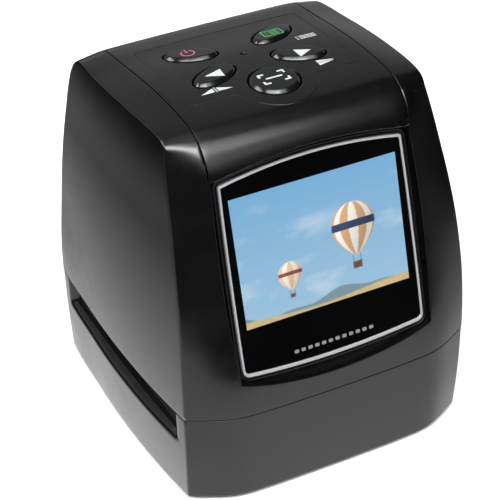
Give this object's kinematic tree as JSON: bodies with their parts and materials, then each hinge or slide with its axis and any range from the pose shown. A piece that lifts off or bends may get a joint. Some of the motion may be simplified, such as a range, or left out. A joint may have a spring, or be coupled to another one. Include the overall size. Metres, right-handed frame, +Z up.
{
  "type": "film negative scanner",
  "caption": "Desktop film negative scanner: barrel-sided casing with a tilted colour screen, a film tunnel through the base and sprung buttons on the crowned top.",
  "frame": {"origin": "middle of the casing's footprint, on the plane that the four rubber feet stand on", "axes": "+X across the casing along the film tunnel, +Y to the back, +Z up; the screen faces -Y"},
  "size_m": [0.088, 0.0883, 0.1035],
  "materials": {
    "casing": "satin moulded black plastic",
    "bezel": "gloss black",
    "bright_trim": "satin silver paint",
    "window": "gloss tinted acrylic",
    "picture": "lit screen with a plain sky scene",
    "dark_steel": "blackened sheet",
    "flex": "amber polyimide",
    "board": "green solder mask",
    "chip": "moulded epoxy",
    "diffuser": "opal",
    "clear": "clear",
    "steel": "bright nickel",
    "inner_black": "matt black",
    "white_inner": "matt white",
    "button": "semi-gloss black",
    "rubber": "matt rubber"
  },
  "bodies": {
    "casing": {"base_shell": "casing", "main_shell": "casing", "top_cover": "casing", "rear_panel": "casing", "screen_bezel": "bezel", "screen_trim": "bright_trim", "screen_window": "window", "lcd_panel": "picture", "lcd_bracket": "dark_steel", "lcd_ribbon": "flex", "key_board": "board", "key_ribbon": "flex", "tact_switches": "chip", "status_led": "diffuser", "status_light_pipe": "clear", "main_board": "board", "main_processor": "chip", "memory_chip": "chip", "board_capacitors": "steel", "card_socket": "steel", "usb_socket": "steel", "optics_tower": "inner_black", "lens_barrel": "inner_black", "lens_elements": "clear", "sensor_board": "board", "image_sensor": "chip", "sensor_ribbon": "flex", "film_gate_upper": "inner_black", "film_gate_lower": "inner_black", "light_box": "white_inner", "light_diffuser": "diffuser", "light_board": "board", "light_leds": "diffuser", "light_lead": "flex", "detent_spring": "steel", "base_screws": "steel", "board_screws": "steel", "rubber_feet": "rubber"},
    "power_key": {"power_button": "button", "power_plunger": "white_inner"},
    "menu_key": {"menu_button": "button", "menu_plunger": "white_inner"},
    "left_key": {"left_button": "button", "left_plunger": "white_inner"},
    "right_key": {"right_button": "button", "right_plunger": "white_inner"},
    "scan_key": {"scan_button": "button", "scan_plunger": "white_inner"},
    "detent": {"detent_plunger": "steel"}
  },
  "joints": [
    {"name": "power_press", "type": "slide", "parent": "casing", "child": "power_key", "axis": [0, 0, 1], "range_m": [-0.0005, 0], "stiffness_N_per_m": 400, "springref_m": 0.0004},
    {"name": "menu_press", "type": "slide", "parent": "casing", "child": "menu_key", "axis": [0, 0, 1], "range_m": [-0.0005, 0], "stiffness_N_per_m": 400, "springref_m": 0.0004},
    {"name": "left_press", "type": "slide", "parent": "casing", "child": "left_key", "axis": [0, 0, 1], "range_m": [-0.0005, 0], "stiffness_N_per_m": 400, "springref_m": 0.0004},
    {"name": "right_press", "type": "slide", "parent": "casing", "child": "right_key", "axis": [0, 0, 1], "range_m": [-0.0005, 0], "stiffness_N_per_m": 400, "springref_m": 0.0004},
    {"name": "scan_press", "type": "slide", "parent": "casing", "child": "scan_key", "axis": [0, 0, 1], "range_m": [-0.0005, 0], "stiffness_N_per_m": 400, "springref_m": 0.0004},
    {"name": "detent_push", "type": "slide", "parent": "casing", "child": "detent", "axis": [0, -1, 0], "range_m": [0, 0.0009], "stiffness_N_per_m": 200, "springref_m": -0.0006, "deforming": ["detent_spring"]}
  ]
}
